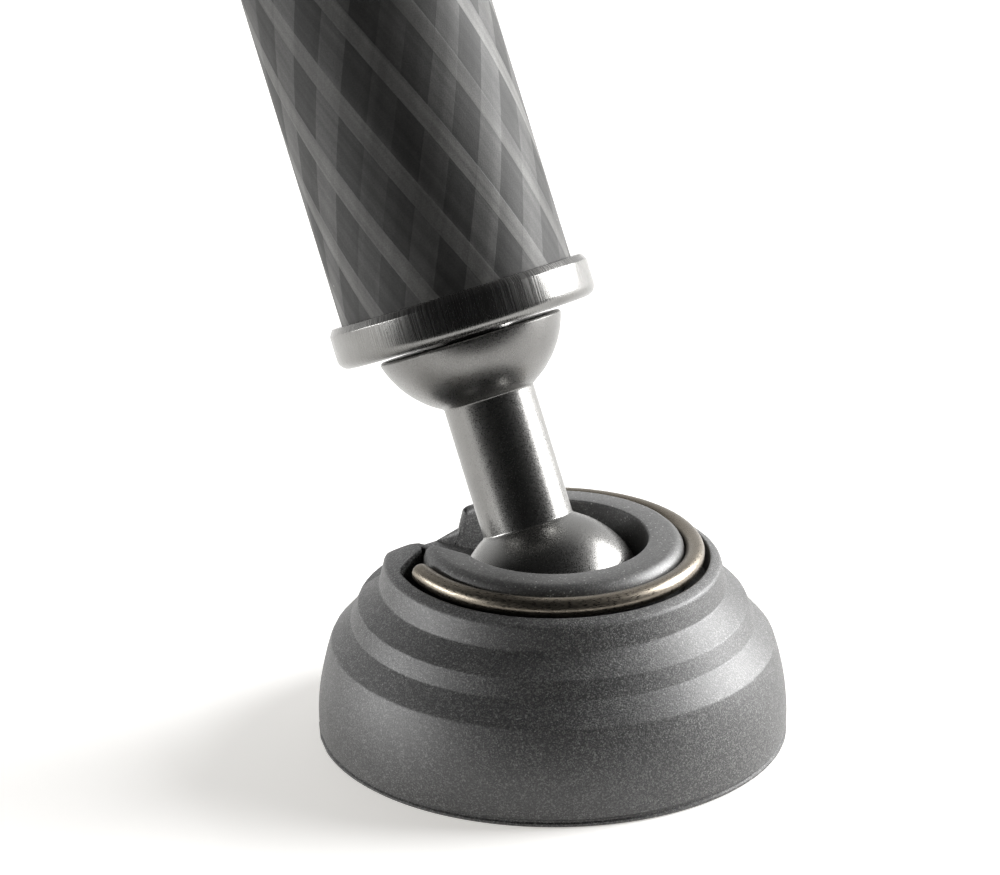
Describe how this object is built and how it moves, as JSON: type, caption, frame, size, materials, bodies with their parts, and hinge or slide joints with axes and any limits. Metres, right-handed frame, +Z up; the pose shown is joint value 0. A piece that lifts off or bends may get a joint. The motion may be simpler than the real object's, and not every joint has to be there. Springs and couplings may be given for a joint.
{
  "type": "camera monopod",
  "caption": "Telescopic monopod with twist locks, a threaded stud and plate for a camera, a moulded hand grip and a stepped rubber foot on a ball joint.",
  "frame": {"origin": "centre of the rubber foot's flat sole, on the floor", "axes": "+Z up from the floor through the foot's axis and the ball's centre; the tubes lean 25 degrees from +Z towards azimuth 133.5 degrees, counted from +X towards +Y"},
  "size_m": [0.2148, 0.2235, 0.535],
  "materials": {
    "head_alloy": "fine black powder coat on cast magnesium alloy",
    "black_alloy": "satin black anodised",
    "collar_alloy": "satin black anodised with fine lengthwise turning marks",
    "stem_alloy": "bead-blasted, dark grey anodised",
    "plain_steel": "plated steel",
    "stud_steel": "machined stainless steel",
    "black_steel": "black oxide",
    "wire_steel": "drawn spring wire, satin",
    "carbon_tube": "matt lacquered carbon fibre with crossing diagonal bands",
    "foot_rubber": "moulded, coarse spark-eroded grain",
    "collar_rubber": "moulded, semi-matt",
    "grip_rubber": "moulded, matt",
    "pad_rubber": "ribbed, matt",
    "seal_rubber": "smooth",
    "bearing_plastic": "natural acetal",
    "cap_plastic": "moulded"
  },
  "bodies": {
    "upper": {"head_casting": "head_alloy", "top_plate": "head_alloy", "top_pad": "pad_rubber", "camera_stud": "stud_steel", "plate_screws": "black_steel", "set_screws": "black_steel", "grip_sleeve": "grip_rubber", "grip_trim": "black_alloy", "tube_1": "carbon_tube", "lock_bush_1": "black_alloy", "collet_1": "bearing_plastic"},
    "twist_ring_1": {"lock_ring_1": "black_alloy", "ring_grip_1": "grip_rubber", "ring_seal_1": "seal_rubber"},
    "section_2": {"tube_2": "carbon_tube", "guide_bush_2": "bearing_plastic", "end_cap_2": "cap_plastic", "lock_bush_2": "black_alloy", "collet_2": "bearing_plastic"},
    "twist_ring_2": {"lock_ring_2": "black_alloy", "ring_grip_2": "grip_rubber", "ring_seal_2": "seal_rubber"},
    "section_3": {"tube_3": "carbon_tube", "guide_bush_3": "bearing_plastic", "end_cap_3": "cap_plastic", "lock_bush_3": "black_alloy", "collet_3": "bearing_plastic"},
    "twist_ring_3": {"lock_ring_3": "black_alloy", "ring_grip_3": "grip_rubber", "ring_seal_3": "seal_rubber"},
    "section_4": {"tube_4": "carbon_tube", "guide_bush_4": "bearing_plastic", "end_cap_4": "cap_plastic", "foot_collar": "collar_alloy"},
    "stem": {"stem": "stem_alloy", "stem_washer": "plain_steel", "stem_nut": "plain_steel"},
    "ball_cup": {"ball_cup": "bearing_plastic"},
    "foot": {"rubber_foot": "foot_rubber", "socket_collar": "collar_rubber", "wire_ring": "wire_steel"}
  },
  "joints": [
    {"name": "ring_1_turn", "type": "hinge", "parent": "upper", "child": "twist_ring_1", "pos_m": [-0.05111, 0.05386, 0.17324], "axis": [-0.2909, 0.3066, 0.9063], "range_deg": [0, 100]},
    {"name": "ring_2_turn", "type": "hinge", "parent": "section_2", "child": "twist_ring_2", "pos_m": [-0.04137, 0.04359, 0.14288], "axis": [-0.2909, 0.3066, 0.9063], "range_deg": [0, 100]},
    {"name": "ring_3_turn", "type": "hinge", "parent": "section_3", "child": "twist_ring_3", "pos_m": [-0.03162, 0.03332, 0.11252], "axis": [-0.2909, 0.3066, 0.9063], "range_deg": [0, 100]},
    {"name": "section_2_slide", "type": "slide", "parent": "upper", "child": "section_2", "axis": [0.2909, -0.3066, -0.9063], "range_m": [0, 0.344]},
    {"name": "section_3_slide", "type": "slide", "parent": "section_2", "child": "section_3", "axis": [0.2909, -0.3066, -0.9063], "range_m": [0, 0.3675]},
    {"name": "section_4_slide", "type": "slide", "parent": "section_3", "child": "section_4", "axis": [0.2909, -0.3066, -0.9063], "range_m": [-0.0585, 0.3325]},
    {"name": "stem_turn", "type": "hinge", "parent": "section_4", "child": "stem", "pos_m": [0, 0, 0.014], "axis": [-0.2909, 0.3066, 0.9063], "continuous": true},
    {"name": "ball_tilt", "type": "hinge", "parent": "stem", "child": "ball_cup", "pos_m": [0, 0, 0.014], "axis": [-0.7254, -0.6884, 0], "range_deg": [-4, 54]},
    {"name": "foot_turn", "type": "hinge", "parent": "ball_cup", "child": "foot", "pos_m": [0, 0, 0.014], "axis": [0, 0, 1], "continuous": true}
  ]
}
